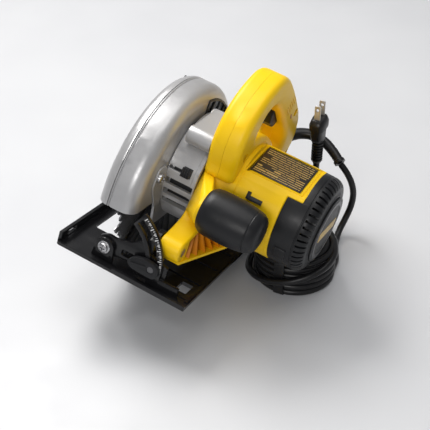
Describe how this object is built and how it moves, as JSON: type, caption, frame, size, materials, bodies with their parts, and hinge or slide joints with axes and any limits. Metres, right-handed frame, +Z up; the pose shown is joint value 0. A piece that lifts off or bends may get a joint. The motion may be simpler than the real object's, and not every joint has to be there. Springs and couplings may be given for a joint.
{
  "type": "circular saw",
  "caption": "Corded circular saw with a cast blade guard, swinging lower guard, tilting shoe, D-handle, front knob and side motor, set down with its cord coiled.",
  "frame": {"origin": "middle of the saw's box without its cord, on the surface it is set down on", "axes": "+Z up from the surface; +X roughly from the blade to the motor; +Y from the front of the saw to its rear. The saw leans 11.8 degrees to the motor side and 11.7 degrees to the rear, as it lies in the picture."},
  "size_m": [0.2232, 0.2832, 0.214],
  "materials": {
    "yellow": "fine-textured moulded nylon",
    "cast": "satin painted casting",
    "black_plastic": "fine-textured moulded nylon",
    "black_steel": "gloss black paint on stamped steel",
    "steel": "bright zinc-plated steel",
    "blade_steel": "ground steel",
    "iron": "varnished steel laminations",
    "copper": "copper and brass",
    "carbon": "pressed carbon",
    "plate": null,
    "rubber": "black thermoplastic rubber"
  },
  "bodies": {
    "saw_body": {"upper_guard": "cast", "guard_cover": "cast", "dust_chute": "black_plastic", "gear_case": "cast", "bearing_plate": "cast", "arbor_front_bearing": "steel", "arbor_rear_bearing": "steel", "motor_front_bearing": "steel", "housing_screw_1": "steel", "housing_screw_2": "steel", "guard_spring": "steel", "motor_housing": "yellow", "rating_plate": "plate", "end_cap": "black_plastic", "end_disc": "plate", "stator": "iron", "motor_rear_bearing": "steel", "carbon_brush_front": "carbon", "brush_holder_front": "copper", "carbon_brush_rear": "carbon", "brush_holder_rear": "copper", "front_knob": "black_plastic", "knob_bolt": "steel", "handle_left": "yellow", "handle_right": "yellow", "switch_body": "black_plastic", "depth_pin": "steel", "depth_clamp_bolt": "steel", "strain_relief": "rubber", "cord_lead": "rubber", "cord_coil": "rubber", "plug_lead": "rubber", "plug": "rubber", "cord_tie": "rubber"},
    "arbor": {"blade": "blade_steel", "inner_flange": "steel", "outer_flange": "steel", "blade_bolt": "steel", "arbor_shaft": "steel", "drive_gear": "steel"},
    "armature": {"motor_shaft": "steel", "motor_pinion": "steel", "cooling_fan": "black_plastic", "armature_core": "iron", "commutator": "copper"},
    "lower_guard_body": {"lower_guard": "black_steel", "guard_lever": "black_plastic"},
    "trigger_body": {"trigger": "black_plastic"},
    "spindle_lock_body": {"spindle_lock": "black_plastic"},
    "depth_bracket": {"front_bracket": "black_steel", "depth_strap": "black_steel", "front_pivot_bolt": "steel", "rear_pivot_bolt": "steel", "bevel_clamp_bolt": "steel"},
    "shoe_body": {"shoe": "black_steel", "front_pivot_ear": "black_steel", "rear_pivot_ear": "black_steel", "bevel_quadrant": "black_steel"},
    "depth_lever_body": {"depth_lever": "black_plastic"},
    "bevel_lever_body": {"bevel_lever": "black_plastic"}
  },
  "joints": [
    {"name": "armature_spin", "type": "hinge", "parent": "saw_body", "child": "armature", "pos_m": [0.02919, -0.00872, 0.1019], "axis": [0.9789, -0.0415, -0.2002], "continuous": true},
    {"name": "blade_spin", "type": "hinge", "parent": "saw_body", "child": "arbor", "pos_m": [-0.06402, -0.00995, 0.09596], "axis": [0.9789, -0.0415, -0.2002], "continuous": true},
    {"name": "lower_guard_swing", "type": "hinge", "parent": "saw_body", "child": "lower_guard_body", "pos_m": [-0.06402, -0.00995, 0.09596], "axis": [0.9789, -0.0415, -0.2002], "range_deg": [0, 115], "stiffness_Nm_per_rad": 0.08, "springref_deg": -68.75},
    {"name": "depth_setting", "type": "hinge", "parent": "saw_body", "child": "depth_bracket", "pos_m": [-0.00713, -0.10627, 0.09438], "axis": [0.9789, -0.0415, -0.2002], "range_deg": [-17, 2]},
    {"name": "bevel_setting", "type": "hinge", "parent": "depth_bracket", "child": "shoe_body", "pos_m": [-0.06526, -0.12383, 0.08851], "axis": [0, 0.9792, -0.2028], "range_deg": [0, 48]},
    {"name": "depth_lever_turn", "type": "hinge", "parent": "saw_body", "child": "depth_lever_body", "pos_m": [-0.0888, 0.05256, 0.12169], "axis": [0.9789, -0.0415, -0.2002], "range_deg": [0, 60]},
    {"name": "bevel_lever_turn", "type": "hinge", "parent": "depth_bracket", "child": "bevel_lever_body", "pos_m": [-0.0155, -0.13001, 0.08335], "axis": [0, 0.9792, -0.2028], "range_deg": [0, 45]},
    {"name": "trigger_squeeze", "type": "slide", "parent": "saw_body", "child": "trigger_body", "axis": [0.1499, 0.8115, 0.5648], "range_m": [0, 0.0035], "stiffness_N_per_m": 1500, "springref_m": -0.003},
    {"name": "spindle_lock_press", "type": "slide", "parent": "saw_body", "child": "spindle_lock_body", "axis": [-0.0632, 0.87, -0.4891], "range_m": [0, 0.004], "stiffness_N_per_m": 400, "springref_m": -0.002}
  ],
  "couplings": [
    {"joint": "armature_spin", "follows": "blade_spin", "ratio": -4.9}
  ]
}
